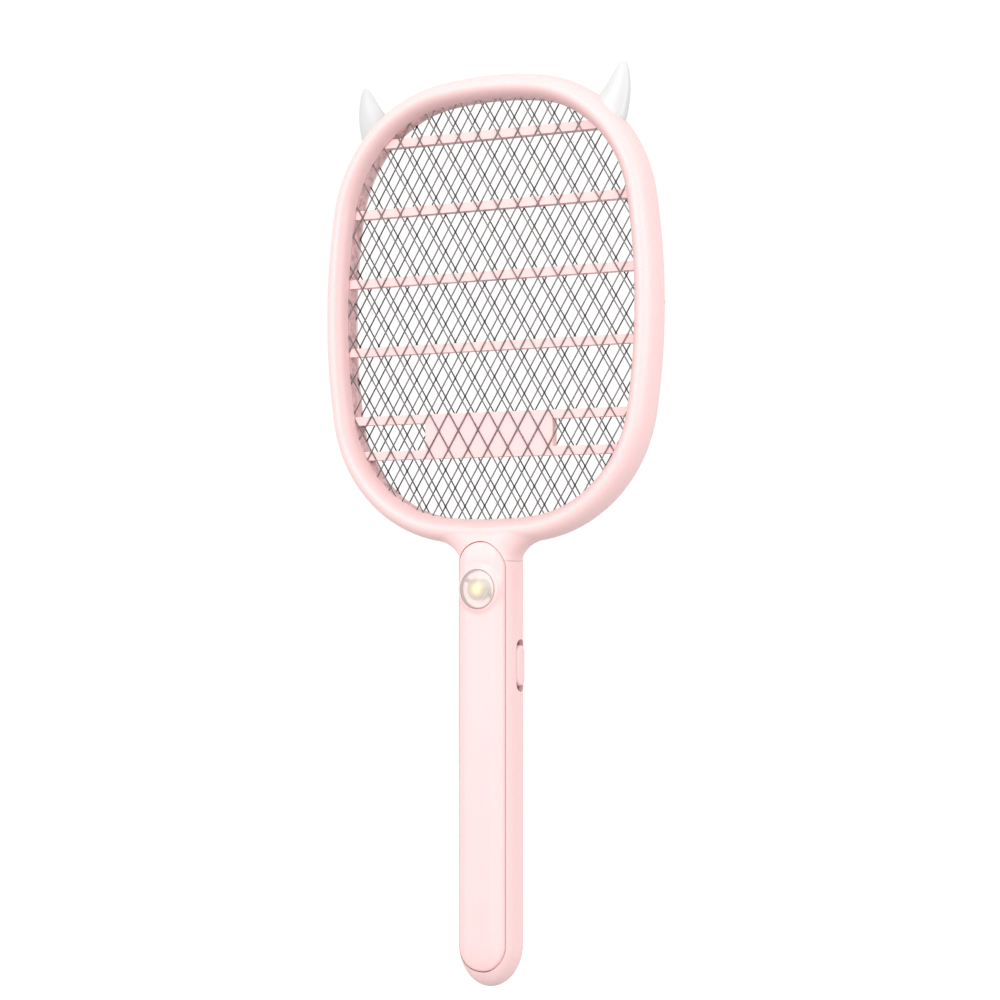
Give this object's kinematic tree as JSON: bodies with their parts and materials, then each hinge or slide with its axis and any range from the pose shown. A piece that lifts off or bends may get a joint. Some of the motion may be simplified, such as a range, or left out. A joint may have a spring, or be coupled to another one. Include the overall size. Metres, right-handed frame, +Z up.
{
  "type": "electric fly swatter",
  "caption": "Racket-shaped electric fly swatter with two charged grids, horned oval rim, straight battery handle, round lamp and side slide switch.",
  "frame": {"origin": "lowest point of the handle's rounded end, on the handle's axis", "axes": "+Z up the handle to the head, +X the swatter's right side seen from the front, the front with the lamp faces -Y"},
  "size_m": [0.2006, 0.0285, 0.48],
  "materials": {
    "pink_shell": "satin moulded ABS",
    "horn_white": "pearl gloss",
    "grid_metal": "zinc-coated expanded steel",
    "screw_steel": "zinc plated",
    "lens_clear": "clear polycarbonate",
    "bulb_clear": "clear optic",
    "reflector_pearl": "pearl metallised",
    "lamp_phosphor": "phosphor",
    "board_green": "solder mask",
    "board_white": "white solder mask",
    "copper_wire": "enamelled copper",
    "ferrite": "sintered ferrite",
    "film_capacitor": "epoxy dipped",
    "black_epoxy": "moulded epoxy",
    "resistor_body": "lacquer",
    "switch_plastic": "moulded acetal",
    "battery_wrap": "shrink sleeve",
    "contact_nickel": "nickel",
    "contact_brass": "stamped",
    "wire_red": "silicone sleeve",
    "wire_black": "silicone sleeve",
    "wire_white": "silicone sleeve"
  },
  "bodies": {
    "swatter": {"head_front_frame": "pink_shell", "head_rear_frame": "pink_shell", "head_screws": "screw_steel", "front_grid": "grid_metal", "rear_grid": "grid_metal", "spacer_grid": "pink_shell", "right_horn": "horn_white", "left_horn": "horn_white", "handle_housing": "pink_shell", "handle_front_panel": "pink_shell", "lamp_lens": "lens_clear", "lamp_reflector": "reflector_pearl", "lamp_bulb": "bulb_clear", "lamp_chip": "lamp_phosphor", "lamp_board": "board_white", "switch_body": "black_epoxy", "main_board": "board_green", "transformer_core": "ferrite", "transformer_winding": "copper_wire", "storage_capacitor": "film_capacitor", "multiplier_capacitors": "film_capacitor", "multiplier_diodes": "black_epoxy", "bleed_resistors": "resistor_body", "drive_transistor": "black_epoxy", "charge_controller": "black_epoxy", "battery_cell": "battery_wrap", "battery_tabs": "contact_nickel", "charging_board": "board_green", "charging_port": "contact_nickel", "handle_screws": "screw_steel", "front_grid_tab": "contact_brass", "rear_grid_tab": "contact_brass", "front_grid_lead": "wire_red", "rear_grid_lead": "wire_white", "battery_lead_positive": "wire_red", "battery_lead_negative": "wire_black", "lamp_leads": "wire_white", "charging_leads": "wire_black"},
    "slide_switch": {"switch_knob": "pink_shell", "switch_slide_plate": "switch_plastic", "switch_lever": "switch_plastic"}
  },
  "joints": [
    {"name": "switch_slide", "type": "slide", "parent": "swatter", "child": "slide_switch", "axis": [0, 0, 1], "range_m": [-0.0027, 0.0027]}
  ]
}
